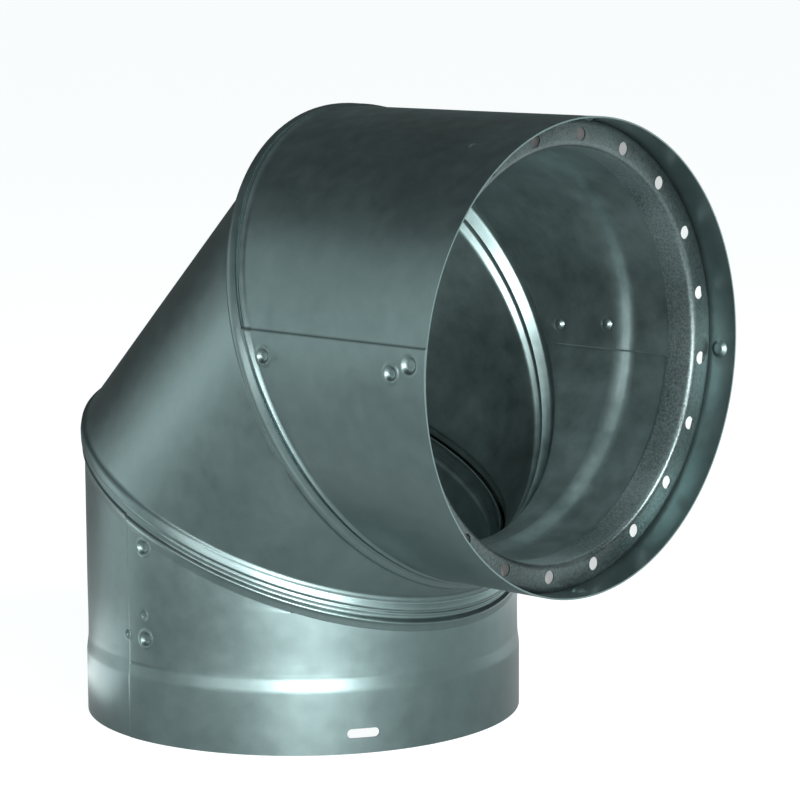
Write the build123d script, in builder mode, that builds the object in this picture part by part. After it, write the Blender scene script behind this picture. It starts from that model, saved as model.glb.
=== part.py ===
from build123d import *
import math
import os

# Double wall flue elbow: a mitred casing of three gores round a mitred flue liner, with an air gap between.
# Millimetres. The foot collar stands on Z = 0 round the Z axis, and the mouth opens along +X.

# Bend
bend_angle = 90.0
foot_length = 93.0
middle_length = 88.5
mouth_length = 89.7

# Casing
casing_diameter = 176.6
casing_sheet = 0.6
collar_diameter = 177.8
collar_height = 25.0
shoulder_height = 6.0
mouth_bore = 179.6

# Liner
flue_bore = 152.4
liner_sheet = 0.5
liner_foot_gap = 14.0
socket_depth = 42.5
socket_start = 15.5
socket_step = 3.0

# Locked seams of the casing. The middle gore's bead starts on its own leg and reaches over the next one
bead_height = 1.65
lip_height = 1.3
rib_height = 1.2
tongue_length = 5.0
lower_bead_root = 2.2
lower_bead_flank = 1.8
lower_bead_reach = 5.2
lower_rib_start = 6.8
lower_rib_peak = 8.1
lower_rib_end = 12.2
upper_bead_root = 7.2
upper_bead_flank = 4.2
upper_bead_reach = 1.8
upper_rib_start = 2.5
upper_rib_peak = 4.4
upper_rib_end = 6.3

# Locked seam between two gores of the liner
liner_bead_width = 7.0
liner_bead_height = 2.3
liner_bead_flank = 1.8
liner_lip_gap = 0.7
liner_lip_height = 1.6
liner_tongue_length = 5.2

# Holed spacer ring in the mouth
ring_sheet = 0.5
ring_depth = 11.8
ring_outer_flange = 8.0
ring_inner_flange = 12.8
flue_socket_bore = 157.2
vent_hole_count = 20
vent_hole_diameter = 5.2
vent_hole_angle = 6.0
vent_circle_diameter = 167.0

# Spacer clips above the foot
clip_count = 4
clip_sheet = 0.6
clip_height = 34.0
clip_pad = 9.0
clip_width_angle = 8.0
clip_angle = 45.0

# Slots in the collar
slot_count = 3
slot_length = 12.9
slot_width = 3.7
slot_height = 8.0
slot_angle = -30.0

# Lapped side seams, each with the angle of its visible edge
lap_sweep = 22.0
outer_lower_lap = -95.5
outer_middle_lap = 20.0
outer_upper_lap = 8.0
inner_upper_lap = 186.0

# Clearance between sheets that seat on each other
seat_gap = 0.05

# Sizes that follow
mitre = math.radians(bend_angle / 4)
casing_radius = casing_diameter / 2
casing_bore_radius = casing_radius - casing_sheet
collar_radius = collar_diameter / 2
mouth_bore_radius = mouth_bore / 2
mouth_radius = mouth_bore_radius + casing_sheet
liner_bore_radius = flue_bore / 2
liner_radius = liner_bore_radius + liner_sheet
ring_inner_radius = flue_socket_bore / 2
socket_bore_radius = ring_inner_radius + ring_sheet + seat_gap
socket_radius = socket_bore_radius + liner_sheet
ring_outer_radius = mouth_bore_radius - seat_gap


def heading(turn):
    """Direction of travel through the elbow after it has turned by this angle."""
    return Vector(math.sin(math.radians(turn)), 0, math.cos(math.radians(turn)))


# Turning points of the centre line
first_corner = Vector(0, 0, foot_length)
second_corner = first_corner + heading(bend_angle / 2) * middle_length
mouth_centre = second_corner + heading(bend_angle) * mouth_length

# Frames at the two open ends, each with its Z axis running into the elbow
foot_frame = Plane.XY
mouth_frame = Plane(origin=mouth_centre, x_dir=(0, -1, 0), z_dir=-heading(bend_angle))
middle_frame = Plane(origin=first_corner, x_dir=(0, 1, 0), z_dir=heading(bend_angle / 2))


def seam_frame(corner, turn, direction):
    """Frame at a corner with Z along one leg towards the seam and X towards the throat of the bend."""
    return Plane(origin=corner, x_dir=heading(turn + 90), z_dir=heading(turn) * direction)


foot_side = seam_frame(first_corner, 0, 1)
middle_foot_side = seam_frame(first_corner, bend_angle / 2, -1)
middle_mouth_side = seam_frame(second_corner, bend_angle / 2, 1)
mouth_side = seam_frame(second_corner, bend_angle, -1)

# A shear along Z that tilts a ring onto the mitre plane and leaves its radius as it was
lean = Matrix([[1, 0, 0, 0], [0, 1, 0, 0], [-math.tan(mitre), 0, 1, 0]])


def mitre_plane(frame, back):
    """Plane parallel to the mitre, a distance back along the leg from the corner."""
    corner = frame.origin - frame.z_dir * back
    return Plane(origin=corner, z_dir=frame.z_dir * math.cos(mitre) + frame.x_dir * math.sin(mitre))


def seam_band(section, frame):
    """Ring of the given section, drawn as radius and height from the mitre, leaning with the mitre."""
    with BuildPart() as ring:
        with BuildSketch(Plane.XZ):
            with BuildLine():
                Polyline(*section, close=True)
            make_face()
        revolve(axis=Axis.Z)
    return frame.location * ring.part.transform_geometry(lean)


def tube(section, frame):
    """Tube of the given section, drawn as radius and height from the frame."""
    with BuildPart() as turned:
        with BuildSketch(Plane(origin=frame.origin, x_dir=frame.x_dir, z_dir=-frame.y_dir)):
            with BuildLine():
                Polyline(*section, close=True)
            make_face()
        revolve(axis=Axis(frame.origin, frame.z_dir))
    return turned.part


def liner_bead_section(radius, sheet, width, height, flank, lip_gap, lip_height):
    """Raised bead at the end of a liner gore, with an open lip that takes the next gore's tongue."""
    return [
        (radius, -width),
        (radius + height, flank - width),
        (radius + lip_height, -lip_gap),
        (radius + lip_height - sheet, -lip_gap),
        (radius + height - sheet, flank - width),
        (radius - sheet, -width),
    ]


def bead_root_section(wall, crest, sheet, root, flank):
    """Foot of the casing bead on its own leg, from the wall up its flank to the fold of the mitre."""
    return [
        (wall, -root),
        (crest, flank - root),
        (crest, 0),
        (crest - sheet, 0),
        (crest - sheet, flank - root),
        (wall - sheet, -root),
    ]


def bead_reach_section(crest, lip, sheet, reach):
    """Rest of the casing bead, which reaches over the next leg and ends in an open lip."""
    return [(crest, 0), (lip, -reach), (lip - sheet, -reach), (crest - sheet, 0)]


def rib_section(radius, sheet, start, peak, end, height):
    """Narrow rib on the next leg, just past the lip of the bead."""
    return [
        (radius, -end),
        (radius + height, -peak),
        (radius, -start),
        (radius - sheet, -start),
        (radius + height - sheet, -peak),
        (radius - sheet, -end),
    ]


def tongue_section(radius, sheet, start, length, rise):
    """Flared tongue that is trapped inside the bead of the next gore."""
    return [
        (radius, -start),
        (radius + rise, length - start),
        (radius + rise - sheet, length - start),
        (radius - sheet, -start),
    ]


lower_crest = casing_radius + bead_height
upper_crest = mouth_radius + bead_height
tongue_rise = lip_height - casing_sheet - seat_gap
lower_flank = bead_root_section(casing_radius, lower_crest, casing_sheet, lower_bead_root, lower_bead_flank)
lower_cover = bead_reach_section(lower_crest, casing_radius + lip_height, casing_sheet, lower_bead_reach)
lower_rib = rib_section(
    casing_radius, casing_sheet, lower_rib_start, lower_rib_peak, lower_rib_end, rib_height
)
lower_tongue = tongue_section(casing_radius, casing_sheet, lower_rib_start, tongue_length, tongue_rise)

# The middle gore flares to the wider gore of the mouth
upper_flank = bead_root_section(casing_radius, upper_crest, casing_sheet, upper_bead_root, upper_bead_flank)
upper_cover = bead_reach_section(upper_crest, mouth_radius + lip_height, casing_sheet, upper_bead_reach)
upper_rib = rib_section(mouth_radius, casing_sheet, upper_rib_start, upper_rib_peak, upper_rib_end, rib_height)
upper_tongue = tongue_section(mouth_radius, casing_sheet, upper_rib_start, upper_rib_start, tongue_rise)

liner_bead = liner_bead_section(
    liner_radius,
    liner_sheet,
    liner_bead_width,
    liner_bead_height,
    liner_bead_flank,
    liner_lip_gap,
    liner_lip_height,
)
liner_tongue_rise = liner_bead_height - liner_sheet - seat_gap
liner_tongue = tongue_section(liner_radius, liner_sheet, 0, -liner_tongue_length, liner_tongue_rise)


def wall_plane(frame, radius, angle, height):
    """Plane that touches a tube from outside, with Z outwards and X along the tube."""
    turn = math.radians(angle)
    outward = frame.x_dir * math.cos(turn) + frame.y_dir * math.sin(turn)
    origin = frame.origin + outward * radius + frame.z_dir * height
    return Plane(origin=origin, x_dir=frame.z_dir, z_dir=outward)


def lap(frame, radius, rise, angle, sweep, start, end):
    """Wedge of sheet that stands proud at the edge of a lapped seam and fades into the wall."""
    root = radius - rise / 2

    def at(distance, turn):
        return (distance * math.cos(math.radians(turn)), distance * math.sin(math.radians(turn)))

    with BuildPart() as wedge:
        with BuildSketch(frame.offset(start)):
            with BuildLine():
                Line(at(root, angle), at(radius + rise, angle))
                ThreePointArc(
                    at(radius + rise, angle), at(radius + rise / 4, angle + sweep / 2), at(root, angle + sweep)
                )
                ThreePointArc(at(root, angle + sweep), at(root, angle + sweep / 2), at(root, angle))
            make_face()
        extrude(amount=end - start)
    return wedge.part


# Lengths that run past the mitres before they are cut
foot_reach = foot_length + casing_radius
mouth_reach = mouth_length + mouth_radius
middle_reach = middle_length + casing_radius

shoulder_top = collar_height + shoulder_height
step_end = socket_depth + socket_step

with BuildPart() as outer_lower_gore:
    foot_section = [
        (collar_radius, 0),
        (collar_radius, collar_height),
        (casing_radius, shoulder_top),
        (casing_radius, foot_reach),
        (casing_bore_radius, foot_reach),
        (casing_bore_radius, shoulder_top),
        (collar_radius - casing_sheet, collar_height),
        (collar_radius - casing_sheet, 0),
    ]
    add(tube(foot_section, foot_frame))
    add(lap(foot_frame, casing_radius, casing_sheet, outer_lower_lap, lap_sweep, shoulder_top, foot_reach))
    split(bisect_by=mitre_plane(foot_side, lower_rib_end), keep=Keep.BOTTOM)
    add(seam_band(lower_rib, foot_side))
    add(seam_band(lower_tongue, foot_side))
    for index in range(slot_count):
        turn = slot_angle + index * 360 / slot_count
        with BuildSketch(wall_plane(foot_frame, collar_radius, turn, slot_height)):
            SlotOverall(slot_length, slot_width, rotation=90)
        extrude(amount=slot_width, both=True, mode=Mode.SUBTRACT)
outer_lower_gore.part.label = "outer_lower_gore"

with BuildPart() as outer_middle_gore:
    middle_section = [
        (casing_radius, -casing_radius),
        (casing_radius, middle_reach),
        (casing_bore_radius, middle_reach),
        (casing_bore_radius, -casing_radius),
    ]
    add(tube(middle_section, middle_frame))
    add(lap(middle_frame, casing_radius, casing_sheet, outer_middle_lap, lap_sweep, -casing_radius, middle_reach))
    split(bisect_by=mitre_plane(middle_foot_side, lower_bead_root), keep=Keep.BOTTOM)
    split(bisect_by=mitre_plane(middle_mouth_side, upper_bead_root), keep=Keep.BOTTOM)
    add(seam_band(lower_flank, middle_foot_side))
    add(seam_band(lower_cover, foot_side))
    add(seam_band(upper_flank, middle_mouth_side))
    add(seam_band(upper_cover, mouth_side))
outer_middle_gore.part.label = "outer_middle_gore"

with BuildPart() as outer_upper_gore:
    mouth_section = [
        (mouth_radius, 0),
        (mouth_radius, mouth_reach),
        (mouth_bore_radius, mouth_reach),
        (mouth_bore_radius, 0),
    ]
    add(tube(mouth_section, mouth_frame))
    add(lap(mouth_frame, mouth_radius, casing_sheet, outer_upper_lap, -lap_sweep, 0, mouth_reach))
    split(bisect_by=mitre_plane(mouth_side, upper_rib_end), keep=Keep.BOTTOM)
    add(seam_band(upper_rib, mouth_side))
    add(seam_band(upper_tongue, mouth_side))
outer_upper_gore.part.label = "outer_upper_gore"

with BuildPart() as inner_lower_gore:
    spigot_section = [
        (liner_radius, liner_foot_gap),
        (liner_radius, foot_reach),
        (liner_bore_radius, foot_reach),
        (liner_bore_radius, liner_foot_gap),
    ]
    add(tube(spigot_section, foot_frame))
    split(bisect_by=mitre_plane(foot_side, liner_bead_width), keep=Keep.BOTTOM)
    add(seam_band(liner_bead, foot_side))
inner_lower_gore.part.label = "inner_lower_gore"

with BuildPart() as inner_middle_gore:
    liner_middle_section = [
        (liner_radius, -casing_radius),
        (liner_radius, middle_reach),
        (liner_bore_radius, middle_reach),
        (liner_bore_radius, -casing_radius),
    ]
    add(tube(liner_middle_section, middle_frame))
    split(bisect_by=mitre_plane(middle_foot_side, 0), keep=Keep.BOTTOM)
    split(bisect_by=mitre_plane(middle_mouth_side, 0), keep=Keep.BOTTOM)
    add(seam_band(liner_tongue, foot_side))
    add(seam_band(liner_tongue, mouth_side))
inner_middle_gore.part.label = "inner_middle_gore"

with BuildPart() as inner_upper_gore:
    socket_section = [
        (socket_radius, socket_start),
        (socket_radius, socket_depth),
        (liner_radius, step_end),
        (liner_radius, mouth_reach),
        (liner_bore_radius, mouth_reach),
        (liner_bore_radius, step_end),
        (socket_bore_radius, socket_depth),
        (socket_bore_radius, socket_start),
    ]
    add(tube(socket_section, mouth_frame))
    add(lap(mouth_frame, liner_bore_radius, -liner_sheet, inner_upper_lap, -lap_sweep, step_end, mouth_reach))
    split(bisect_by=mitre_plane(mouth_side, liner_bead_width), keep=Keep.BOTTOM)
    add(seam_band(liner_bead, mouth_side))
inner_upper_gore.part.label = "inner_upper_gore"

with BuildPart() as mouth_spacer_ring:
    ring_section = [
        (ring_outer_radius, ring_depth + ring_outer_flange),
        (ring_outer_radius, ring_depth),
        (ring_inner_radius, ring_depth),
        (ring_inner_radius, ring_depth + ring_inner_flange),
        (ring_inner_radius + ring_sheet, ring_depth + ring_inner_flange),
        (ring_inner_radius + ring_sheet, ring_depth + ring_sheet),
        (ring_outer_radius - ring_sheet, ring_depth + ring_sheet),
        (ring_outer_radius - ring_sheet, ring_depth + ring_outer_flange),
    ]
    add(tube(ring_section, mouth_frame))
    with BuildSketch(mouth_frame.offset(ring_depth)):
        with PolarLocations(vent_circle_diameter / 2, vent_hole_count, start_angle=vent_hole_angle):
            Circle(vent_hole_diameter / 2)
    extrude(amount=ring_sheet, mode=Mode.SUBTRACT)
mouth_spacer_ring.part.label = "mouth_spacer_ring"

with BuildPart() as foot_spacer_clips:
    clip_inner = liner_radius + seat_gap
    clip_outer = casing_bore_radius - seat_gap
    bridge = clip_height + clip_pad
    for index in range(clip_count):
        turn = math.radians(clip_angle + index * 360 / clip_count - clip_width_angle / 2)
        outward = Vector(math.cos(turn), math.sin(turn), 0)
        with BuildSketch(Plane(origin=(0, 0, 0), x_dir=outward, z_dir=outward.cross(Vector(0, 0, 1)))):
            with BuildLine():
                Polyline(
                    (clip_inner, clip_height),
                    (clip_inner + clip_sheet, clip_height),
                    (clip_inner + clip_sheet, bridge),
                    (clip_outer, bridge),
                    (clip_outer, bridge + clip_pad),
                    (clip_outer - clip_sheet, bridge + clip_pad),
                    (clip_outer - clip_sheet, bridge + clip_sheet),
                    (clip_inner, bridge + clip_sheet),
                    close=True,
                )
            make_face()
        revolve(axis=Axis.Z, revolution_arc=clip_width_angle)
foot_spacer_clips.part.label = "foot_spacer_clips"

os.makedirs("parts", exist_ok=True)
export_step(outer_lower_gore.part, "parts/outer_lower_gore.step")
export_step(outer_middle_gore.part, "parts/outer_middle_gore.step")
export_step(outer_upper_gore.part, "parts/outer_upper_gore.step")
export_step(inner_lower_gore.part, "parts/inner_lower_gore.step")
export_step(inner_middle_gore.part, "parts/inner_middle_gore.step")
export_step(inner_upper_gore.part, "parts/inner_upper_gore.step")
export_step(mouth_spacer_ring.part, "parts/mouth_spacer_ring.step")
export_step(foot_spacer_clips.part, "parts/foot_spacer_clips.step")
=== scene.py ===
import math

import bpy
from mathutils import Matrix, Vector


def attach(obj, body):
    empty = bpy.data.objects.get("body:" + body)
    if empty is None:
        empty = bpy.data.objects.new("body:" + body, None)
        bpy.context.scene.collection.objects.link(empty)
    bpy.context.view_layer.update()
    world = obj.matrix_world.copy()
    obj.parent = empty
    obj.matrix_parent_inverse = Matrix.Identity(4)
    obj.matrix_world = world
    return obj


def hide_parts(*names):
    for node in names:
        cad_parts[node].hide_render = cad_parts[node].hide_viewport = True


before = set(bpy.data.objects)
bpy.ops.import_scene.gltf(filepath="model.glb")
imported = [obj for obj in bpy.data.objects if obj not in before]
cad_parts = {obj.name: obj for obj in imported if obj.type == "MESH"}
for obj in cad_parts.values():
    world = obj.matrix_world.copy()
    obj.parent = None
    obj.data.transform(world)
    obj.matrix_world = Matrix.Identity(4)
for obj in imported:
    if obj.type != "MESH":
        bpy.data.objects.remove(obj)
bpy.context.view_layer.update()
print("frame loaded")

mm = 0.001

# The bend, shared by every gore. Lengths in millimetres, angles in degrees.
elbow = {
    "bend": 90.0,
    "footLength": 93.0,
    "middleLength": 88.5,
    "mouthLength": 89.7,
    "columnStep": 2.0,
    "fineColumnStep": 0.32,
    "rowStep": 4.0,
    "fineRowStep": 0.45,
    "closestShare": 0.4,  # two rows or columns nearer than this share of a fine step become one
    "arcSteps": 5,
    "arcShare": 0.49,  # an arc takes no more than this share of a straight side
    "farOff": 500.0,  # a leg's end that has no mitre
    "sharpAngle": 38.0,
}
mitreSlope = math.tan(math.radians(elbow["bend"] / 4))


def heading(turn):
    return Vector((math.sin(math.radians(turn)), 0, math.cos(math.radians(turn))))


firstCorner = Vector((0, 0, elbow["footLength"]))
secondCorner = firstCorner + heading(elbow["bend"] / 2) * elbow["middleLength"]
mouthCentre = secondCorner + heading(elbow["bend"]) * elbow["mouthLength"]


# Small helpers for node trees
def addNode(tree, kind, inputs=None, **settings):
    node = tree.nodes.new(kind)
    for name, value in settings.items():
        setattr(node, name, value)
    for key, value in (inputs or {}).items():
        if isinstance(value, bpy.types.NodeSocket):
            tree.links.new(value, node.inputs[key])
        else:
            node.inputs[key].default_value = value
    return node


def maths(tree, operation, *values):
    return addNode(tree, "ShaderNodeMath", dict(enumerate(values)), operation=operation).outputs[0]


def vectorMaths(tree, operation, *values):
    node = addNode(tree, "ShaderNodeVectorMath", operation=operation)
    for index, value in enumerate(values):
        socket = node.inputs["Scale"] if operation == "SCALE" and index == 1 else node.inputs[index]
        if isinstance(value, bpy.types.NodeSocket):
            tree.links.new(value, socket)
        else:
            socket.default_value = value
    return node.outputs["Value"] if operation in ("DOT_PRODUCT", "DISTANCE", "LENGTH") else node.outputs[0]


def easeBetween(tree, value, low, high):
    ease = addNode(
        tree,
        "ShaderNodeMapRange",
        {"Value": value, "From Min": low, "From Max": high},
        interpolation_type="SMOOTHSTEP",
    )
    return ease.outputs[0]


def mapRange(tree, value, source, target):
    ends = {"From Min": source[0], "From Max": source[1], "To Min": target[0], "To Max": target[1]}
    return addNode(tree, "ShaderNodeMapRange", {"Value": value, **ends}).outputs[0]


def newTree(name, sockets):
    tree = bpy.data.node_groups.new(name, "GeometryNodeTree")
    tree.interface.new_socket("Geometry", in_out="INPUT", socket_type="NodeSocketGeometry")
    tree.interface.new_socket("Geometry", in_out="OUTPUT", socket_type="NodeSocketGeometry")
    for title, kind in sockets:
        tree.interface.new_socket(title, in_out="INPUT", socket_type=kind)
    return tree, tree.nodes.new("NodeGroupInput").outputs, tree.nodes.new("NodeGroupOutput")


def finishTree(tree, mesh, material, output):
    real = addNode(tree, "GeometryNodeRealizeInstances", {"Geometry": mesh}).outputs[0]
    coated = addNode(tree, "GeometryNodeSetMaterial", {"Geometry": real, "Material": material}).outputs[0]
    tree.links.new(coated, output.inputs[0])


def setInputs(modifier, values):
    for item in modifier.node_group.interface.items_tree:
        if item.in_out == "INPUT" and item.name in values:
            modifier[item.identifier] = values[item.name]


# How sheets are lapped, rolled and marked: the lap's edge in shares of its sweep, and a mark's pit
# and ring in shares of its radius
sheetForm = {
    "lapEdge": (-0.012, 0.012),
    "waveClimb": 12.0,
    "waveScale": 1.7,
    "waveDetail": 1.0,
    "pit": (0.85, 0.4),
    "ringInside": (0.72, 0.92),
    "ringOutside": (1.25, 0.98),
    "mergeDistance": 2e-7,
}


# One tree forms every sheet: it sweeps a section round a leg, leans its ends on the mitres,
# folds what passes a mitre into the next leg, steps the lapped seam and presses the marks
def makeSweepTree():
    tree, given, output = newTree(
        "sweptSheet",
        [
            ("Angles", "NodeSocketObject"),
            ("Marks", "NodeSocketObject"),
            ("Material", "NodeSocketMaterial"),
            ("Mitre Slope", "NodeSocketFloat"),
            ("Low Corner", "NodeSocketFloat"),
            ("High Corner", "NodeSocketFloat"),
            ("Lap Angle", "NodeSocketFloat"),
            ("Lap Sweep", "NodeSocketFloat"),
            ("Lap Rise", "NodeSocketFloat"),
            ("Waviness", "NodeSocketFloat"),
            ("Turn", "NodeSocketVector"),
            ("Corner", "NodeSocketVector"),
        ],
    )
    section = given["Geometry"]
    angles = addNode(tree, "GeometryNodeObjectInfo", {"Object": given["Angles"]}).outputs["Geometry"]
    marks = addNode(tree, "GeometryNodeObjectInfo", {"Object": given["Marks"]}).outputs["Geometry"]
    rows = addNode(tree, "GeometryNodeAttributeDomainSize", {"Geometry": section}).outputs["Point Count"]
    columns = addNode(tree, "GeometryNodeAttributeDomainSize", {"Geometry": angles}).outputs["Point Count"]
    lastRow = maths(tree, "SUBTRACT", rows, 1)
    lastColumn = maths(tree, "SUBTRACT", columns, 1)
    grid = addNode(
        tree,
        "GeometryNodeMeshGrid",
        {"Size X": lastColumn, "Size Y": lastRow, "Vertices X": columns, "Vertices Y": rows},
    )
    place = tree.nodes.new("GeometryNodeInputPosition").outputs[0]
    spot = addNode(tree, "ShaderNodeSeparateXYZ", {0: place}).outputs
    column = maths(tree, "ROUND", maths(tree, "ADD", spot[0], maths(tree, "DIVIDE", lastColumn, 2)))
    row = maths(tree, "ROUND", maths(tree, "ADD", spot[1], maths(tree, "DIVIDE", lastRow, 2)))

    def sampled(source, value, index, kind):
        node = addNode(tree, "GeometryNodeSampleIndex", data_type=kind, domain="POINT")
        tree.links.new(source, node.inputs["Geometry"])
        tree.links.new(value, node.inputs["Value"])
        tree.links.new(index, node.inputs["Index"])
        return node.outputs["Value"]

    def named(title, kind):
        return addNode(tree, "GeometryNodeInputNamedAttribute", {"Name": title}, data_type=kind).outputs[0]

    def stored(mesh, title, value, kind):
        node = addNode(
            tree,
            "GeometryNodeStoreNamedAttribute",
            {"Geometry": mesh, "Name": title, "Value": value},
            data_type=kind,
            domain="POINT",
        )
        return node.outputs[0]

    sectionPoint = sampled(section, place, row, "FLOAT_VECTOR")
    sectionFacts = sampled(section, named("facts", "FLOAT_VECTOR"), row, "FLOAT_VECTOR")
    anglePoint = sampled(angles, place, column, "FLOAT_VECTOR")
    mesh = stored(grid.outputs["Mesh"], "rowPoint", sectionPoint, "FLOAT_VECTOR")
    mesh = stored(mesh, "rowFacts", sectionFacts, "FLOAT_VECTOR")
    mesh = stored(mesh, "turnPoint", anglePoint, "FLOAT_VECTOR")

    rowParts = addNode(tree, "ShaderNodeSeparateXYZ", {0: named("rowPoint", "FLOAT_VECTOR")}).outputs
    rowFacts = addNode(tree, "ShaderNodeSeparateXYZ", {0: named("rowFacts", "FLOAT_VECTOR")}).outputs
    angle = addNode(tree, "ShaderNodeSeparateXYZ", {0: named("turnPoint", "FLOAT_VECTOR")}).outputs[0]
    cosine = maths(tree, "COSINE", angle)
    sine = maths(tree, "SINE", angle)

    # The lap stands a sheet proud at its edge and fades along its sweep
    swept = maths(tree, "WRAP", maths(tree, "SUBTRACT", angle, given["Lap Angle"]), math.pi, -math.pi)
    along = maths(tree, "DIVIDE", swept, given["Lap Sweep"])
    edge = easeBetween(tree, along, *sheetForm["lapEdge"])
    proud = maths(tree, "MULTIPLY", edge, easeBetween(tree, along, 1, 0))
    lap = maths(tree, "MULTIPLY", maths(tree, "MULTIPLY", proud, given["Lap Rise"]), rowFacts[0])

    # Slow waves that rolled sheet has, as noise on a circle that climbs with the height
    climb = maths(tree, "MULTIPLY", rowParts[1], sheetForm["waveClimb"])
    wavePlace = addNode(tree, "ShaderNodeCombineXYZ", {0: cosine, 1: sine, 2: climb}).outputs[0]
    wave = addNode(
        tree,
        "ShaderNodeTexNoise",
        {"Vector": wavePlace, "Scale": sheetForm["waveScale"], "Detail": sheetForm["waveDetail"]},
        noise_dimensions="3D",
    ).outputs[0]
    waved = maths(tree, "MULTIPLY", maths(tree, "SUBTRACT", wave, 0.5), given["Waviness"])
    waved = maths(tree, "MULTIPLY", waved, rowFacts[1])
    radius = maths(tree, "ADD", maths(tree, "ADD", rowParts[0], lap), waved)

    # What passes a mitre is mirrored back at it here, leans with the rest, and is folded over below
    pastHigh = maths(tree, "GREATER_THAN", rowParts[1], given["High Corner"])
    pastLow = maths(tree, "LESS_THAN", rowParts[1], given["Low Corner"])
    over = maths(tree, "MAXIMUM", maths(tree, "SUBTRACT", rowParts[1], given["High Corner"]), 0)
    under = maths(tree, "MAXIMUM", maths(tree, "SUBTRACT", given["Low Corner"], rowParts[1]), 0)
    height = maths(tree, "SUBTRACT", rowParts[1], maths(tree, "MULTIPLY", over, 2))
    height = maths(tree, "ADD", height, maths(tree, "MULTIPLY", under, 2))
    across = maths(tree, "MULTIPLY", radius, cosine)
    leaned = maths(
        tree,
        "SUBTRACT",
        height,
        maths(tree, "MULTIPLY", maths(tree, "MULTIPLY", rowParts[2], given["Mitre Slope"]), across),
    )
    formed = addNode(
        tree, "ShaderNodeCombineXYZ", {0: across, 1: maths(tree, "MULTIPLY", radius, sine), 2: leaned}
    ).outputs[0]

    def foldedOver(point, corner, side, isPast):
        cornerPoint = addNode(tree, "ShaderNodeCombineXYZ", {2: corner}).outputs[0]
        normal = addNode(
            tree, "ShaderNodeCombineXYZ", {0: maths(tree, "MULTIPLY", given["Mitre Slope"], side), 2: 1.0}
        ).outputs[0]
        normal = vectorMaths(tree, "NORMALIZE", normal)
        offset = vectorMaths(tree, "SUBTRACT", point, cornerPoint)
        distance = vectorMaths(tree, "DOT_PRODUCT", offset, normal)
        throw = maths(tree, "MULTIPLY", maths(tree, "MULTIPLY", distance, -2), isPast)
        return vectorMaths(tree, "ADD", point, vectorMaths(tree, "SCALE", normal, throw))

    formed = foldedOver(formed, given["High Corner"], 1, pastHigh)
    formed = foldedOver(formed, given["Low Corner"], -1, pastLow)
    mesh = addNode(tree, "GeometryNodeSetPosition", {"Geometry": mesh, "Position": formed}).outputs[0]

    # Each vertex is pressed by the mark nearest to it: a pit, and round it a low ring
    nearest = addNode(tree, "GeometryNodeSampleNearest", {"Geometry": marks}, domain="POINT").outputs[0]
    markPlace = sampled(marks, place, nearest, "FLOAT_VECTOR")
    markFacts = sampled(marks, named("press", "FLOAT_VECTOR"), nearest, "FLOAT_VECTOR")
    press = addNode(tree, "ShaderNodeSeparateXYZ", {0: markFacts}).outputs
    reach = maths(tree, "DIVIDE", vectorMaths(tree, "DISTANCE", place, markPlace), press[0])
    pit = maths(tree, "MULTIPLY", easeBetween(tree, reach, *sheetForm["pit"]), press[1])
    innerFlank = easeBetween(tree, reach, *sheetForm["ringInside"])
    outerFlank = easeBetween(tree, reach, *sheetForm["ringOutside"])
    ring = maths(tree, "MULTIPLY", maths(tree, "MULTIPLY", innerFlank, outerFlank), press[2])
    outward = addNode(tree, "ShaderNodeCombineXYZ", {0: cosine, 1: sine}).outputs[0]
    moved = vectorMaths(tree, "SCALE", outward, maths(tree, "SUBTRACT", ring, pit))
    mesh = addNode(tree, "GeometryNodeSetPosition", {"Geometry": mesh, "Offset": moved}).outputs[0]

    merged = {"Geometry": mesh, "Distance": sheetForm["mergeDistance"]}
    mesh = addNode(tree, "GeometryNodeMergeByDistance", merged).outputs[0]
    mesh = addNode(
        tree,
        "GeometryNodeTransform",
        {"Geometry": mesh, "Translation": given["Corner"], "Rotation": given["Turn"]},
    ).outputs[0]
    mesh = addNode(tree, "GeometryNodeSetShadeSmooth", {"Geometry": mesh}).outputs[0]
    finishTree(tree, mesh, given["Material"], output)
    return tree


# A second tree punches a cutter through a sheet at even turns round an axis
def makePunchTree():
    tree, given, output = newTree(
        "punchedSheet",
        [
            ("Cutter", "NodeSocketObject"),
            ("Count", "NodeSocketInt"),
            ("First Turn", "NodeSocketFloat"),
            ("Axis Turn", "NodeSocketVector"),
            ("Centre", "NodeSocketVector"),
            ("Material", "NodeSocketMaterial"),
        ],
    )
    cutter = addNode(tree, "GeometryNodeObjectInfo", {"Object": given["Cutter"]}).outputs["Geometry"]
    atAxis = {"Count": given["Count"], "Offset": (0, 0, 0)}
    points = addNode(tree, "GeometryNodeMeshLine", atAxis).outputs[0]
    index = tree.nodes.new("GeometryNodeInputIndex").outputs[0]
    step = maths(tree, "DIVIDE", 2 * math.pi, given["Count"])
    turn = maths(tree, "ADD", maths(tree, "MULTIPLY", index, step), given["First Turn"])
    spin = addNode(tree, "ShaderNodeCombineXYZ", {2: turn}).outputs[0]
    copies = addNode(
        tree, "GeometryNodeInstanceOnPoints", {"Points": points, "Instance": cutter, "Rotation": spin}
    ).outputs[0]
    copies = addNode(tree, "GeometryNodeRealizeInstances", {"Geometry": copies}).outputs[0]
    copies = addNode(
        tree,
        "GeometryNodeTransform",
        {"Geometry": copies, "Translation": given["Centre"], "Rotation": given["Axis Turn"]},
    ).outputs[0]
    cut = addNode(tree, "GeometryNodeMeshBoolean", operation="DIFFERENCE", solver="MANIFOLD")
    tree.links.new(given["Geometry"], cut.inputs["Mesh 1"])
    tree.links.new(copies, cut.inputs["Mesh 2"])
    finishTree(tree, cut.outputs[0], given["Material"], output)
    return tree


sweepTree = makeSweepTree()
punchTree = makePunchTree()
print("node trees ready")


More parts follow.
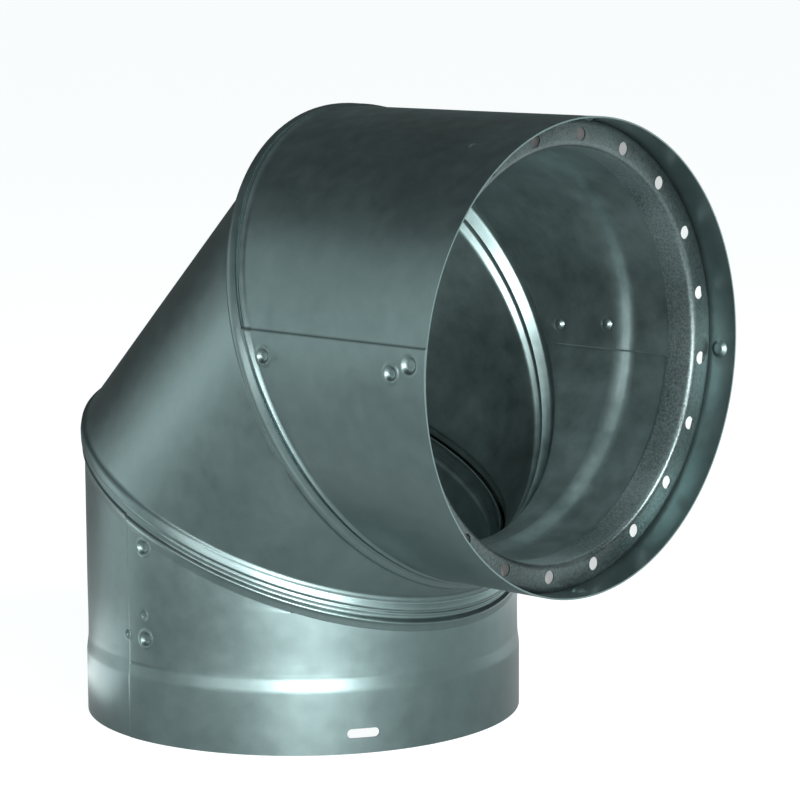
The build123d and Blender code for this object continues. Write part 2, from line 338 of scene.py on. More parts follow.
# Sections. A section is a line of (radius, height, lean, bend radius) for the sheet's outer face,
# where lean is 1 at the upper mitre of a leg, -1 at the lower one and 0 on a square end.
def roundedLine(corners):
    points = []
    last = len(corners) - 1
    for index, corner in enumerate(corners):
        here = Vector(corner[:3])
        bend = corner[3] if len(corner) > 3 else 0
        if index in (0, last) or bend == 0:
            points.append(here)
            continue
        before = Vector(corners[index - 1][:3])
        after = Vector(corners[index + 1][:3])
        lengthBefore = (before.xy - here.xy).length
        lengthAfter = (after.xy - here.xy).length
        start = here.lerp(before, min(bend, lengthBefore * elbow["arcShare"]) / max(lengthBefore, 1e-6))
        end = here.lerp(after, min(bend, lengthAfter * elbow["arcShare"]) / max(lengthAfter, 1e-6))
        for step in range(elbow["arcSteps"] + 1):
            share = step / elbow["arcSteps"]
            points.append(start.lerp(here, share).lerp(here.lerp(end, share), share))
    return points


def withRows(points, fineSpans):
    dense = [points[0]]
    for before, after in zip(points, points[1:]):
        length = (after.xy - before.xy).length
        cuts = {0.0, 1.0}
        count = max(1, math.ceil(length / elbow["rowStep"]))
        cuts.update(step / count for step in range(count))
        rise = after.y - before.y
        for low, high in fineSpans if abs(rise) > 1e-6 else ():
            fineCount = math.ceil((high - low) / elbow["fineRowStep"])
            for step in range(fineCount + 1):
                share = (low + (high - low) * step / fineCount - before.y) / rise
                if 0 < share < 1:
                    cuts.add(share)
        ordered = sorted(cuts)
        kept = [ordered[0]]
        for share in ordered[1:]:
            if (share - kept[-1]) * length > elbow["fineRowStep"] * elbow["closestShare"] or share == 1.0:
                kept.append(share)
        dense += [before.lerp(after, share) for share in kept[1:]]
    return dense


def sheetLoop(points, sheet):
    # the outer face, and the inner face on the way back
    offset = []
    for index, here in enumerate(points):
        before = points[max(index - 1, 0)]
        after = points[min(index + 1, len(points) - 1)]
        along = (after.xy - before.xy).normalized()
        normal = Vector((-along.y, along.x))
        offset.append(Vector((here.x + normal.x * sheet, here.y + normal.y * sheet, here.z)))
    return points, offset[::-1]


# Casing and liner. Lengths in millimetres, and turns in degrees: the mouth's and the liner's laps
# by mouthTurn below, the others from +X of their leg.
casing = {
    "radius": 88.3,
    "collarRadius": 88.9,
    "collarHeight": 25.0,
    "shoulderTop": 30.4,
    "shoulderRise": 0.1,
    "waistRadius": 88.1,
    "waistHeight": 38.0,
    "waistEnd": 56.0,
    "mouthRadius": 90.4,
    "sheet": 0.6,
    "beadHeight": 1.57,
    "ribHeight": 1.2,
    "kneeHeight": 0.54,
    "tongueLength": 4.5,
    "tongueRise": 0.315,
    "tongueGap": 0.3,
    "beadBend": 0.9,
    "kneeBend": 0.7,
    "lipBend": 0.5,
    "shoulderBends": (1.0, 1.6, 3.0, 4.0),
    "rowInsideRim": 25.0,
    "markRise": 0.4,
    "footLap": -95.5,
    "middleLap": 110.0,
    "mouthLap": 8.0,
    "collarLapShare": 0.35,
    "lapSweep": 22.0,
    "waviness": 0.25,
}

# Each casing seam: the bead's root and flank, the crease and the tilt of its crest, the knee and
# the lip over the next leg, and the rib beyond the lip
lowerSeam = {
    "root": 2.2,
    "flank": 1.8,
    "crease": 3.5,
    "crestTilt": 0.5,
    "knee": 0.0,
    "lip": 1.3,
    "reach": 5.2,
    "ribStart": 6.8,
    "ribPeak": 8.1,
    "ribKnee": 9.3,
    "ribEnd": 12.2,
}
upperSeam = {
    "root": 7.2,
    "flank": 4.2,
    "crease": 0.0,
    "crestTilt": 0.0,
    "knee": 1.2,
    "lip": 0.6,
    "reach": 1.8,
    "ribStart": 2.5,
    "ribPeak": 4.4,
    "ribKnee": 5.3,
    "ribEnd": 6.3,
}
creaseForm = {"depth": 0.45, "before": 0.9, "after": 0.8, "drop": 0.1, "startBend": 0.5, "bend": 0.4}
liner = {
    "radius": 76.7,
    "sheet": 0.5,
    "footGap": 14.0,
    "rowAboveFoot": 31.0,
    "beadRoot": 0.8,
    "beadHeight": 3.2,
    "crestStart": 0.9,
    "crestEnd": 5.5,
    "lip": 8.7,
    "ribHeight": 2.0,
    "ribStart": 14.2,
    "ribPeak": 12.2,
    "tongueEnd": 9.3,
    "rootBend": 0.6,
    "crestBend": 1.0,
    "ribBend": 0.8,
    "lap": 186.0,
    "lapSweep": 20.0,
    "lapStart": 3.0,
    "socketRadius": 79.65,
    "socketDepth": 42.5,
    "socketStart": 15.5,
    "socketStep": 6.5,
    "stepBends": (3.0, 2.0),
    "waviness": 0.3,
}


def linerBead(corner, side):
    # from the wall over the mitre's fold to the lip, side is 1 at an upper mitre and -1 at a lower one
    crest = liner["radius"] + liner["beadHeight"]
    return [
        (liner["radius"], corner - side * liner["beadRoot"], side, liner["rootBend"]),
        (crest, corner + side * liner["crestStart"], side, liner["crestBend"]),
        (crest, corner + side * liner["crestEnd"], side, liner["crestBend"]),
        (liner["radius"], corner + side * liner["lip"], side),
    ]


def linerRib(corner, side):
    # the rib beyond the lip, and the tongue behind the lip
    crest = liner["radius"] + liner["ribHeight"]
    return [
        (liner["radius"], corner - side * liner["ribStart"], side, liner["ribBend"]),
        (crest, corner - side * liner["ribPeak"], side, liner["ribBend"]),
        (crest, corner - side * liner["tongueEnd"], side),
    ]


def casingBead(nextRadius, seam, corner, side):
    # from the wall over the mitre's fold to the lip, side is 1 at an upper mitre and -1 at a lower one
    crest = nextRadius + casing["beadHeight"]
    flankTop = seam["root"] - seam["flank"]
    points = [
        (casing["radius"], corner - side * seam["root"], side, casing["beadBend"]),
        (crest - seam["crestTilt"], corner - side * flankTop, side, casing["beadBend"]),
    ]
    if seam["crease"]:
        low = seam["crease"] - creaseForm["before"]
        high = seam["crease"] + creaseForm["after"]
        points += [
            (crest, corner + side * low, side, creaseForm["startBend"]),
            (crest - creaseForm["depth"], corner + side * seam["crease"], side, creaseForm["bend"]),
            (crest - creaseForm["drop"], corner + side * high, side, creaseForm["bend"]),
        ]
    if seam["knee"]:
        points.append((crest, corner - side * seam["knee"], side, casing["beadBend"]))
    return points + [(nextRadius + seam["lip"], corner + side * seam["reach"], side)]


def casingRib(radius, seam, corner, side):
    # the rib beyond the lip, and the tongue inside the bead
    tongueEnd = max(seam["ribStart"] - casing["tongueLength"], casing["tongueGap"])
    return [
        (radius, corner - side * seam["ribEnd"], side, casing["beadBend"]),
        (radius + casing["kneeHeight"], corner - side * seam["ribKnee"], side, casing["kneeBend"]),
        (radius + casing["ribHeight"], corner - side * seam["ribPeak"], side, casing["beadBend"]),
        (radius, corner - side * seam["ribStart"], side, casing["lipBend"]),
        (radius + casing["tongueRise"], corner - side * tongueEnd, side),
    ]


print("sections ready")


def meshObject(name, points, facts=None, title="facts"):
    mesh = bpy.data.meshes.new(name)
    mesh.from_pydata([tuple(point) for point in points], [], [])
    if facts:
        attribute = mesh.attributes.new(title, "FLOAT_VECTOR", "POINT")
        for item, value in zip(attribute.data, facts):
            item.vector = value
    thing = bpy.data.objects.new(name, mesh)
    bpy.context.collection.objects.link(thing)
    return thing


def anglesFor(name, fineTurns):
    turns = {round(step * elbow["columnStep"], 4) for step in range(int(360 / elbow["columnStep"]))}
    for low, high in fineTurns:
        count = math.ceil((high - low) / elbow["fineColumnStep"])
        turns.update(round((low + (high - low) * step / count) % 360, 4) for step in range(count + 1))
    closest = elbow["fineColumnStep"] * elbow["closestShare"]
    ordered = sorted(turns)
    kept = [ordered[0]]
    for turn in ordered[1:]:
        if turn - kept[-1] > closest:
            kept.append(turn)
    if 360 - kept[-1] < closest:
        kept.pop()
    return meshObject(name, [(math.radians(turn), 0, 0) for turn in kept + [360.0]])


def marksFor(name, marks, reach):
    # each mark is (turn, height, radius, depth, ring), placed at the given reach from the axis
    points = []
    facts = []
    for turn, height, size, depth, ring in marks:
        angle = math.radians(turn)
        points.append((reach * math.cos(angle) * mm, reach * math.sin(angle) * mm, height * mm))
        facts.append((size * mm, depth * mm, ring * mm))
    return meshObject(name, points, facts, "press")


def bakedMesh(name, thing):
    graph = bpy.context.evaluated_depsgraph_get()
    mesh = bpy.data.meshes.new_from_object(thing.evaluated_get(graph), depsgraph=graph)
    mesh.name = name
    for title in ("rowPoint", "rowFacts", "turnPoint"):
        if title in mesh.attributes:
            mesh.attributes.remove(mesh.attributes[title])
    return mesh


def signedVolume(mesh):
    mesh.calc_loop_triangles()
    total = 0.0
    for triangle in mesh.loop_triangles:
        first, second, third = (mesh.vertices[index].co for index in triangle.vertices)
        total += first.dot(second.cross(third))
    return total / 6


def sweepSheet(
    name,
    line,
    sheetFacts,
    leg,
    material,
    lap=(0.0, 1.0, 0.0),
    marks=(),
    markRadius=0.0,
    fineRows=(),
    fineTurns=(),
    lapShare=lambda height: 1.0,
    wavyShare=lambda height: 1.0,
    lapInside=False,
):
    # the lap is (turn, sweep, rise), and the shares say how much of the lap and the waves a height has
    turn, corner, lowCorner, highCorner = leg
    face, back = sheetLoop(withRows(roundedLine(line), fineRows), sheetFacts["sheet"])
    loop = face + back + face[:1]
    facts = []
    for index, point in enumerate(loop):
        isFace = index < len(face) or index == len(loop) - 1
        facts.append((lapShare(point.y) if isFace != lapInside else 0.0, wavyShare(point.y), 0.0))
    section = meshObject(name + "Section", [(point.x * mm, point.y * mm, point.z) for point in loop], facts)
    angles = anglesFor(name + "Angles", fineTurns)
    pressed = marksFor(name + "Marks", marks, markRadius)
    modifier = section.modifiers.new("sweep", "NODES")
    modifier.node_group = sweepTree
    lapAngle, lapSweep, lapRise = lap
    setInputs(
        modifier,
        {
            "Angles": angles,
            "Marks": pressed,
            "Material": material,
            "Mitre Slope": mitreSlope,
            "Low Corner": lowCorner * mm,
            "High Corner": highCorner * mm,
            "Lap Angle": math.radians(lapAngle),
            "Lap Sweep": math.radians(lapSweep),
            "Lap Rise": lapRise * mm,
            "Waviness": sheetFacts["waviness"] * mm,
            "Turn": (0.0, math.radians(turn), 0.0),
            "Corner": tuple(corner * mm),
        },
    )
    mesh = bakedMesh(name, section)
    if signedVolume(mesh) < 0:
        mesh.flip_normals()
    for helper in (section, angles, pressed):
        bpy.data.objects.remove(helper, do_unlink=True)
    thing = bpy.data.objects.new(name, mesh)
    bpy.context.collection.objects.link(thing)
    print(name, len(mesh.polygons), "faces, volume", round(signedVolume(mesh) / mm**3), "cubic mm")
    return thing


# Materials. Each is steel with its own grain, mottling and shine, in metres on Object coordinates; the
# spacer ring's web also gets painted shade.
grain = {"cloudScale": 22.0, "speckScale": 1500.0, "spread": (0.3, 0.7), "bumpDistance": 0.0004}


def steelMaterial(name, finish):
    material = bpy.data.materials.new(name)
    material.use_nodes = True
    tree = material.node_tree
    shader = tree.nodes["Principled BSDF"]
    shader.inputs["Metallic"].default_value = finish["metallic"]
    place = addNode(tree, "ShaderNodeTexCoord").outputs["Object"]

    def noise(scale, **settings):
        return addNode(tree, "ShaderNodeTexNoise", {"Vector": place, "Scale": scale, **settings}).outputs[0]

    mottle = noise(finish["mottleScale"], Detail=4.0, Roughness=0.6)
    cloud = noise(grain["cloudScale"], Detail=2.0)
    speck = noise(grain["speckScale"], Detail=2.0)
    mixed = maths(tree, "ADD", maths(tree, "MULTIPLY", mottle, 0.5), maths(tree, "MULTIPLY", cloud, 0.5))
    tone = addNode(tree, "ShaderNodeValToRGB", {"Fac": mixed})
    shades = (finish["dark"], finish["light"])
    for stop, position, shade in zip(tone.color_ramp.elements, grain["spread"], shades):
        stop.position = position
        stop.color = (*shade, 1)
    colour = tone.outputs[0]
    # painted shade: the ring's web takes a darker base colour than its flanges, from where X passes the
    # given limits
    if "paintedWebShadeFrom" in finish:
        alongX = addNode(tree, "ShaderNodeSeparateXYZ", {0: place}).outputs[0]
        paintedShadeMask = easeBetween(tree, alongX, *finish["paintedWebShadeFrom"])
        kept = maths(tree, "MULTIPLY_ADD", paintedShadeMask, finish["paintedWebShadeShare"] - 1, 1.0)
        colour = vectorMaths(tree, "SCALE", colour, kept)
    tree.links.new(colour, shader.inputs["Base Color"])
    gloss = mapRange(tree, mixed, grain["spread"], finish["gloss"])
    tree.links.new(gloss, shader.inputs["Roughness"])
    rough = maths(tree, "MULTIPLY", speck, finish["speck"])
    height = maths(tree, "ADD", rough, maths(tree, "MULTIPLY", mottle, finish["ripple"]))
    bump = addNode(
        tree,
        "ShaderNodeBump",
        {"Height": height, "Distance": grain["bumpDistance"], "Strength": finish["bump"]},
    )
    tree.links.new(bump.outputs[0], shader.inputs["Normal"])
    return material


casingFinish = {
    "dark": (0.108, 0.157, 0.159),
    "light": (0.140, 0.202, 0.201),
    "gloss": (0.31, 0.39),
    "metallic": 0.97,
    "mottleScale": 140.0,
    "speck": 0.10,
    "ripple": 0.12,
    "bump": 0.25,
}
linerFinish = {
    "dark": (0.090, 0.130, 0.130),
    "light": (0.185, 0.262, 0.260),
    "gloss": (0.34, 0.43),
    "metallic": 0.91,
    "mottleScale": 110.0,
    "speck": 0.08,
    "ripple": 0.15,
    "bump": 0.22,
}
spangleFinish = {
    "dark": (0.050, 0.075, 0.075),
    "light": (0.300, 0.405, 0.402),
    "gloss": (0.24, 0.46),
    "metallic": 0.90,
    "mottleScale": 1100.0,
    # painted shade: the web's base colour is darkened to this share of the flange's
    "paintedWebShadeFrom": ((mouthCentre.x - 13.4) * mm, (mouthCentre.x - 12.4) * mm),
    "paintedWebShadeShare": 0.3,
    "speck": 0.45,
    "ripple": 0.35,
    "bump": 0.4,
}
casingSteel = steelMaterial("casingSteel", casingFinish)
linerSteel = steelMaterial("linerSteel", linerFinish)
spangledSteel = steelMaterial("spangledSteel", spangleFinish)
print("materials ready")

# Legs: the turn of the leg, its first corner, and the heights of its lower and upper mitre
footLeg = (0.0, Vector((0, 0, 0)), -elbow["farOff"], elbow["footLength"])
middleLeg = (elbow["bend"] / 2, firstCorner, 0.0, elbow["middleLength"])
mouthLeg = (elbow["bend"], secondCorner, 0.0, elbow["farOff"])

# A mark is pressed in with a radius, a depth and the height of the ring round it
markForms = {
    "clinch": (3.4, 0.9, 0.34),
    "smallClinch": (2.4, 0.6, 0.1),
    "linerClinch": (2.6, 1.0, 0.3),
    "dimple": (4.6, 1.25, 0.0),
    "dent": (2.6, 0.5, 0.0),
}


def markAt(kind, turn, height):
    return (turn, height, *markForms[kind])


def mouthTurn(angle):
    # the mouth's marks are measured from -Y towards +Z, seen from outside
    return -90.0 - angle


def fromRim(depth):
    return elbow["mouthLength"] - depth


# Outer lower gore: collar, shoulder, wall, rib and tongue
bends = casing["shoulderBends"]
lowerLine = [
    (casing["collarRadius"], 0, 0),
    (casing["collarRadius"], casing["collarHeight"], 0, bends[0]),
    (casing["waistRadius"] + casing["shoulderRise"], casing["shoulderTop"], 0, bends[1]),
    (casing["waistRadius"], casing["waistHeight"], 0, bends[2]),
    (casing["radius"], casing["waistEnd"], 0, bends[3]),
    *casingRib(casing["radius"], lowerSeam, elbow["footLength"], 1),
]
lowerMarks = [
    markAt("clinch", -89.1, 77.5),
    markAt("dent", -89.2, 50.5),
    markAt("clinch", -88.9, 41.0),
    markAt("smallClinch", -96.1, 41.3),
]
outerLower = sweepSheet(
    "outerLowerSheet",
    lowerLine,
    casing,
    footLeg,
    casingSteel,
    lap=(casing["footLap"], casing["lapSweep"], casing["sheet"]),
    marks=lowerMarks,
    markRadius=casing["radius"] + casing["markRise"],
    fineRows=[(35.0, 55.0), (72.5, 82.5)],
    fineTurns=[(-100.0, -84.0)],
    lapShare=lambda height: casing["collarLapShare"] if height < casing["shoulderTop"] else 1.0,
    wavyShare=lambda height: 0.0 if height < casing["shoulderTop"] else 1.0,
)

# Outer middle gore: a bead at each end, the upper one flared to the wider gore of the mouth
lowBead = casingBead(casing["radius"], lowerSeam, 0.0, -1)
highBead = casingBead(casing["mouthRadius"], upperSeam, elbow["middleLength"], 1)
outerMiddle = sweepSheet(
    "outerMiddleSheet",
    lowBead[::-1] + highBead,
    casing,
    middleLeg,
    casingSteel,
    lap=(casing["middleLap"], casing["lapSweep"], casing["sheet"]),
    fineTurns=[(casing["middleLap"] - 2, casing["middleLap"] + 2)],
)

# Outer upper gore: tongue, rib and one straight wall to the rim
mouthRib = casingRib(casing["mouthRadius"], upperSeam, 0.0, -1)
upperLine = mouthRib[::-1] + [
    (casing["mouthRadius"], fromRim(casing["rowInsideRim"]), 0, 0),
    (casing["mouthRadius"], fromRim(0.0), 0),
]
upperMarks = [
    markAt("clinch", mouthTurn(2.1), fromRim(80.7)),
    markAt("clinch", mouthTurn(1.7), fromRim(16.0)),
    *(markAt("dimple", mouthTurn(angle), fromRim(7.4)) for angle in (4.0, 94.0, 183.4, 268.0)),
    markAt("smallClinch", mouthTurn(63.3), fromRim(21.7)),
]
mouthLap = mouthTurn(casing["mouthLap"])
fineSpans = [(mouthTurn(angle), 3.5) for angle in (2.5, 63.3, 94.0, 183.4, 268.0)] + [(mouthLap, 1.5)]
outerUpper = sweepSheet(
    "outerUpperSheet",
    upperLine,
    casing,
    mouthLeg,
    casingSteel,
    lap=(mouthLap, casing["lapSweep"], casing["sheet"]),
    marks=upperMarks,
    markRadius=casing["mouthRadius"] + casing["markRise"],
    fineRows=[(fromRim(85.0), fromRim(76.0)), (fromRim(26.0), fromRim(1.5))],
    fineTurns=[(turn - span, turn + span) for turn, span in fineSpans],
)

# Liner: a plain foot, a middle with a rib at each end, and a socket behind the mouth
innerLower = sweepSheet(
    "innerLowerSheet",
    [
        (liner["radius"], liner["footGap"], 0),
        (liner["radius"], liner["rowAboveFoot"], 0, 0),
        *linerBead(elbow["footLength"], 1),
    ],
    liner,
    footLeg,
    linerSteel,
)
linerEnds = linerRib(0.0, -1)[::-1] + linerRib(elbow["middleLength"], 1)
innerMiddle = sweepSheet("innerMiddleSheet", linerEnds, liner, middleLeg, linerSteel)
socketTop = fromRim(liner["socketDepth"] + liner["socketStep"])
innerUpper = sweepSheet(
    "innerUpperSheet",
    linerBead(0.0, -1)[::-1]
    + [
        (liner["radius"], socketTop, 0, liner["stepBends"][0]),
        (liner["socketRadius"], fromRim(liner["socketDepth"]), 0, liner["stepBends"][1]),
        (liner["socketRadius"], fromRim(liner["socketStart"]), 0),
    ],
    liner,
    mouthLeg,
    linerSteel,
    lap=(mouthTurn(liner["lap"]), liner["lapSweep"], -liner["sheet"]),
    marks=[
        markAt("linerClinch", mouthTurn(180.0), fromRim(78.7)),
        markAt("linerClinch", mouthTurn(178.5), fromRim(53.8)),
    ],
    markRadius=liner["radius"] - liner["sheet"],
    fineRows=[(fromRim(82.0), fromRim(75.0)), (fromRim(57.5), fromRim(50.0))],
    fineTurns=[(mouthTurn(188.0), mouthTurn(176.0))],
    lapShare=lambda height: 1.0 if height > liner["lapStart"] else 0.0,
    lapInside=True,
)

# Spacer ring: outer flange, web and inner flange with rounded bends, then its vent holes
ring = {
    "outerRadius": 89.75,
    "innerRadius": 78.6,
    "depth": 11.8,
    "outerFlange": 8.0,
    "innerFlange": 12.8,
    "bend": 2.4,
    "sheet": 0.5,
    "waviness": 0.05,
    "holes": 20,
    "holeDiameter": 5.2,
    "holeCircle": 167.0,
    "firstHole": 6.0,
    "holeSteps": 28,
    "cutReach": 3.0,
}
ringLine = [
    (ring["outerRadius"], fromRim(ring["depth"] + ring["outerFlange"]), 0),
    (ring["outerRadius"], fromRim(ring["depth"]), 0, ring["bend"]),
    (ring["innerRadius"], fromRim(ring["depth"]), 0, ring["bend"]),
    (ring["innerRadius"], fromRim(ring["depth"] + ring["innerFlange"]), 0),
]
plainRing = sweepSheet("plainRing", ringLine, ring, mouthLeg, spangledSteel)


def cutterObject(name, outline, low, high, axis):
    # a prism through the outline, axis 0 runs along X and axis 2 along Z
    def at(first, second, reach):
        return (reach, first, second) if axis == 0 else (first, second, reach)

    count = len(outline)
    points = [at(first, second, reach) for reach in (low, high) for first, second in outline]
    faces = [tuple(range(count))[::-1], tuple(range(count, 2 * count))]
    for index in range(count):
        after = (index + 1) % count
        faces.append((index, after, after + count, index + count))
    mesh = bpy.data.meshes.new(name)
    mesh.from_pydata([tuple(value * mm for value in point) for point in points], [], faces)
    thing = bpy.data.objects.new(name, mesh)
    bpy.context.collection.objects.link(thing)
    if signedVolume(mesh) < 0:
        mesh.flip_normals()
    return thing


def punch(name, source, cutter, count, firstTurn, leg, material):
    turn, corner = leg[:2]
    modifier = source.modifiers.new("punch", "NODES")
    modifier.node_group = punchTree
    setInputs(
        modifier,
        {
            "Cutter": cutter,
            "Count": count,
            "First Turn": math.radians(firstTurn),
            "Axis Turn": (0.0, math.radians(turn), 0.0),
            "Centre": tuple(corner * mm),
            "Material": material,
        },
    )
    mesh = bakedMesh(name, source)
    for helper in (source, cutter):
        bpy.data.objects.remove(helper, do_unlink=True)
    thing = bpy.data.objects.new(name, mesh)
    bpy.context.collection.objects.link(thing)
    print(name, len(mesh.polygons), "faces, volume", round(signedVolume(mesh) / mm**3), "cubic mm")
    return thing


def arcPoint(acrossCentre, upCentre, radius, turn):
    return (acrossCentre + radius * math.cos(turn), upCentre + radius * math.sin(turn))


holeOutline = [
    arcPoint(ring["holeCircle"] / 2, 0.0, ring["holeDiameter"] / 2, 2 * math.pi * step / ring["holeSteps"])
    for step in range(ring["holeSteps"])
]
webHeight = fromRim(ring["depth"])
holeCutter = cutterObject(
    "holeCutter", holeOutline, webHeight - ring["cutReach"], webHeight + ring["cutReach"], 2
)
holeTurn = mouthTurn(ring["firstHole"])
spacerRing = punch(
    "mouthSpacerRing", plainRing, holeCutter, ring["holes"], holeTurn, mouthLeg, spangledSteel
)

slots = {
    "count": 3,
    "length": 12.9,
    "width": 3.7,
    "height": 8.0,
    "firstTurn": -30.0,
    "endSteps": 12,
    "cutReach": 6.0,
}
slotRound = slots["width"] / 2
slotEnd = slots["length"] / 2 - slotRound
slotOutline = []
for side, startTurn in ((1, -90), (-1, 90)):
    for step in range(slots["endSteps"] + 1):
        turn = math.radians(startTurn + 180 / slots["endSteps"] * step)
        slotOutline.append(arcPoint(side * slotEnd, slots["height"], slotRound, turn))
slotCutter = cutterObject(
    "slotCutter",
    slotOutline,
    casing["collarRadius"] - slots["cutReach"],
    casing["collarRadius"] + slots["cutReach"],
    0,
)
outerLower = punch(
    "outerLowerGoreSheet", outerLower, slotCutter, slots["count"], slots["firstTurn"], footLeg, casingSteel
)
print("sheets ready")

# Each sheet stands for its own node, and the hidden clips keep the frame's own mesh
dressed = [
    (outerLower, "outer_lower_gore", "casing_steel"),
    (outerMiddle, "outer_middle_gore", "casing_steel"),
    (outerUpper, "outer_upper_gore", "casing_steel"),
    (innerLower, "inner_lower_gore", "liner_steel"),
    (innerMiddle, "inner_middle_gore", "liner_steel"),
    (innerUpper, "inner_upper_gore", "liner_steel"),
    (spacerRing, "mouth_spacer_ring", "spangled_steel"),
]
for piece, node, slotName in dressed:
    piece.data.set_sharp_from_angle(angle=math.radians(elbow["sharpAngle"]))
    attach(piece, "root")
    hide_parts(node)
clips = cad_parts["foot_spacer_clips"]
clips.data.materials.clear()
clips.data.materials.append(spangledSteel)

# Camera at the photograph's place
camera = {
    "place": (0.8694, -0.8654, 0.3060),
    "azimuth": 43.25,
    "elevation": 8.309,
    "roll": -0.276,
    "lens": 136.67,
    "sensor": 36.0,
}
cameraData = bpy.data.cameras.new("camera")
cameraData.lens = camera["lens"]
cameraData.sensor_width = camera["sensor"]
cameraData.sensor_fit = "HORIZONTAL"
cameraObject = bpy.data.objects.new("camera", cameraData)
bpy.context.collection.objects.link(cameraObject)
azimuth = math.radians(camera["azimuth"])
elevation = math.radians(camera["elevation"])
level = math.cos(elevation)
look = Vector((-math.sin(azimuth) * level, math.cos(azimuth) * level, -math.sin(elevation)))
turned = look.to_track_quat("-Z", "Y").to_matrix() @ Matrix.Rotation(math.radians(camera["roll"]), 3, "Z")
cameraObject.matrix_world = Matrix.Translation(camera["place"]) @ turned.to_4x4()
bpy.context.scene.camera = cameraObject

# A white floor in a studio that glows in patches, with soft lights. A patch is its turn from -Y
# towards +X, its lift, the angles where it is full and where it ends, and its strength.
studio = {
    "floorReach": 60.0,
    "floorColour": (0.12, 0.12, 0.12),
    "floorRoughness": 0.9,
    "floorSheen": 0.1,
    "floorWhite": 0.95,
    "floorGlow": 0.07,
    "floorNear": 0.30,
    "farEase": (0.18, 0.5),  # metres from the origin, where the floor's patches set in
    "floorPatches": [
        (-58, 0, 8, 25, 1.2),
        (-15, 0, 10, 40, 0.3),
        (52, 0, 8, 48, 2.2),
        (112, 0, 25, 60, 1.45),
        (180, 0, 14, 42, 2.6),
    ],
    "nearPatches": [(-56, 0, 10, 24, 2.4)],
    "nearStart": (0.105, 0.125),  # metres from the origin, where the near patches set in and end
    "nearEnd": (0.26, 0.2),
    "skyWhite": 1.0,
    "skyGlow": 0.06,
    "skyPatches": [(-50, 4, 20, 42, 0.95), (45, 8, 20, 50, 0.8)],
    "tint": (0.97, 1.0, 0.998),
}
scene = bpy.context.scene
scene.view_settings.view_transform = "Standard"


def glowTree(tree, direction, base, patches):
    unit = vectorMaths(tree, "NORMALIZE", direction)
    total = None
    for turn, lift, full, end, strength in patches:
        flat = math.cos(math.radians(lift))
        axis = (
            math.sin(math.radians(turn)) * flat,
            -math.cos(math.radians(turn)) * flat,
            math.sin(math.radians(lift)),
        )
        toward = vectorMaths(tree, "DOT_PRODUCT", unit, axis)
        patch = easeBetween(tree, toward, math.cos(math.radians(end)), math.cos(math.radians(full)))
        total = maths(tree, "MULTIPLY_ADD", patch, strength, base if total is None else total)
    return total


def evenlySeen(tree, glow, level):
    # the stage is an even white where it is looked at, and glows in patches for what it lights
    seen = addNode(tree, "ShaderNodeLightPath").outputs["Is Camera Ray"]
    return maths(tree, "MULTIPLY_ADD", seen, maths(tree, "SUBTRACT", level, glow), glow)


floorCorners = [(-1, -1), (1, -1), (1, 1), (-1, 1)]
floorPoints = [(x * studio["floorReach"], y * studio["floorReach"], 0) for x, y in floorCorners]
floorMesh = bpy.data.meshes.new("floor")
floorMesh.from_pydata(floorPoints, [], [(0, 1, 2, 3)])
floor = bpy.data.objects.new("floor", floorMesh)
bpy.context.collection.objects.link(floor)
floorMaterial = bpy.data.materials.new("paleFloor")
floorMaterial.use_nodes = True
floorTree = floorMaterial.node_tree
floorShader = floorTree.nodes["Principled BSDF"]
floorShader.inputs["Base Color"].default_value = (*studio["floorColour"], 1)
floorShader.inputs["Roughness"].default_value = studio["floorRoughness"]
floorShader.inputs["Specular IOR Level"].default_value = studio["floorSheen"]
floorShader.inputs["Emission Color"].default_value = (*studio["tint"], 1)
floorSpot = addNode(floorTree, "ShaderNodeTexCoord").outputs["Object"]
distance = vectorMaths(floorTree, "LENGTH", floorSpot)
away = easeBetween(floorTree, distance, *studio["farEase"])
patches = glowTree(floorTree, floorSpot, -studio["floorNear"], studio["floorPatches"])
pool = maths(floorTree, "MULTIPLY_ADD", patches, away, studio["floorGlow"] + studio["floorNear"])
beside = glowTree(floorTree, floorSpot, 0.0, studio["nearPatches"])
beside = maths(floorTree, "MULTIPLY", beside, easeBetween(floorTree, distance, *studio["nearStart"]))
pool = maths(floorTree, "MULTIPLY_ADD", beside, easeBetween(floorTree, distance, *studio["nearEnd"]), pool)
floorShine = evenlySeen(floorTree, pool, studio["floorWhite"])
floorTree.links.new(floorShine, floorShader.inputs["Emission Strength"])
floorMesh.materials.append(floorMaterial)
world = bpy.data.worlds.new("world")
scene.world = world
world.use_nodes = True
worldTree = world.node_tree
backdrop = worldTree.nodes["Background"]
backdrop.inputs["Color"].default_value = (*studio["tint"], 1)
skyward = addNode(worldTree, "ShaderNodeTexCoord").outputs["Generated"]
sky = glowTree(worldTree, skyward, studio["skyGlow"], studio["skyPatches"])
worldTree.links.new(evenlySeen(worldTree, sky, studio["skyWhite"]), backdrop.inputs["Strength"])

# Each light has its place, what it points at, its width and height, its power and its colour
middle = (0.05, 0.0, 0.10)
white, warm = (1.0, 1.0, 1.0), (1.0, 0.93, 0.93)
lights = {
    "frontLight": ((1.43, -1.27, 0.36), middle, (1.2, 0.55), 74, warm),
    "leftLight": ((0.25, -1.9, 0.38), middle, (1.3, 0.5), 15, warm),
    "sideLight": ((-1.55, -1.0, 0.22), middle, (0.6, 0.4), 1.1, white),
    "mouthLight": ((1.4, -0.12, 1.15), (0.12, 0.0, 0.12), (0.5, 0.5), 70, white),
}
for name, (place, target, size, power, colour) in lights.items():
    lightData = bpy.data.lights.new(name, "AREA")
    lightData.shape = "RECTANGLE"
    lightData.size, lightData.size_y = size
    lightData.energy = power
    lightData.color = colour
    light = bpy.data.objects.new(name, lightData)
    light.visible_camera = False
    bpy.context.collection.objects.link(light)
    direction = Vector(target) - Vector(place)
    turned = direction.to_track_quat("-Z", "Y").to_matrix().to_4x4()
    light.matrix_world = Matrix.Translation(place) @ turned
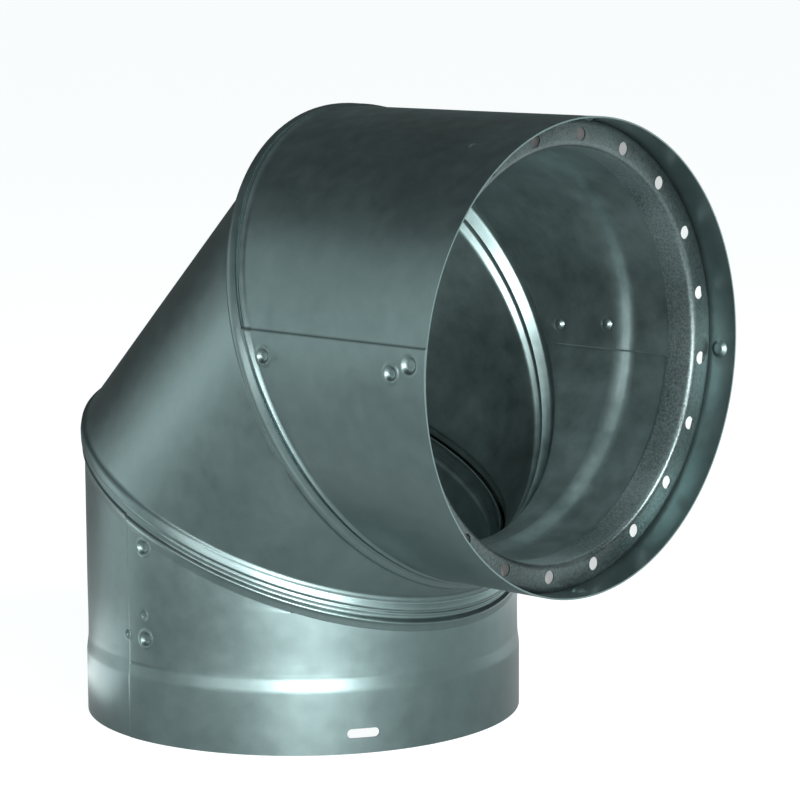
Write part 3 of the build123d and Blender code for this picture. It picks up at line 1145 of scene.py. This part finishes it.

# A pale ring of the stage in the air gap, for what the vent holes show: it glows as painted light, dim
# towards -Y and bright towards +Y. The span is where its painted glow starts and ends, in metres along the
# slope from the mouth's centre.
gapBackdrop = {
    "behind": 3.4,
    "inner": 79.9,
    "outer": 89.0,
    "steps": 90,
    "paintedGlow": (0.05, 0.96),
    "slope": (0, 0.97, -0.25),
    "span": (-0.012, 0.075),
    "base": (0.03, 0.03, 0.03),
    "roughness": 0.9,
    "colour": (0.93, 1.0, 0.99),
}
gapX = mouthCentre.x - ring["depth"] - gapBackdrop["behind"]
gapPoints = []
for radius in (gapBackdrop["inner"], gapBackdrop["outer"]):
    for step in range(gapBackdrop["steps"]):
        across, up = arcPoint(0.0, mouthCentre.z, radius, 2 * math.pi * step / gapBackdrop["steps"])
        gapPoints.append((gapX * mm, across * mm, up * mm))
gapFaces = []
for step in range(gapBackdrop["steps"]):
    after = (step + 1) % gapBackdrop["steps"]
    gapFaces.append((step, step + gapBackdrop["steps"], after + gapBackdrop["steps"], after))
gapMesh = bpy.data.meshes.new("gapBackdrop")
gapMesh.from_pydata(gapPoints, [], gapFaces)
gapSheet = bpy.data.objects.new("gapBackdrop", gapMesh)
bpy.context.collection.objects.link(gapSheet)
gapMaterial = bpy.data.materials.new("gapBackdrop")
gapMaterial.use_nodes = True
gapTree = gapMaterial.node_tree
gapShader = gapTree.nodes["Principled BSDF"]
gapShader.inputs["Base Color"].default_value = (*gapBackdrop["base"], 1)
gapShader.inputs["Roughness"].default_value = gapBackdrop["roughness"]
gapShader.inputs["Emission Color"].default_value = (*gapBackdrop["colour"], 1)
gapPlace = addNode(gapTree, "ShaderNodeTexCoord").outputs["Object"]
gapPlace = vectorMaths(gapTree, "SUBTRACT", gapPlace, tuple(mouthCentre * mm))
gapSide = vectorMaths(gapTree, "DOT_PRODUCT", gapPlace, gapBackdrop["slope"])
# painted light: the ring's glow rises along the slope from -Y to +Y
gapPaintedGlow = mapRange(gapTree, gapSide, gapBackdrop["span"], gapBackdrop["paintedGlow"])
gapTree.links.new(gapPaintedGlow, gapShader.inputs["Emission Strength"])
gapMesh.materials.append(gapMaterial)
print("camera, floor and lights ready")
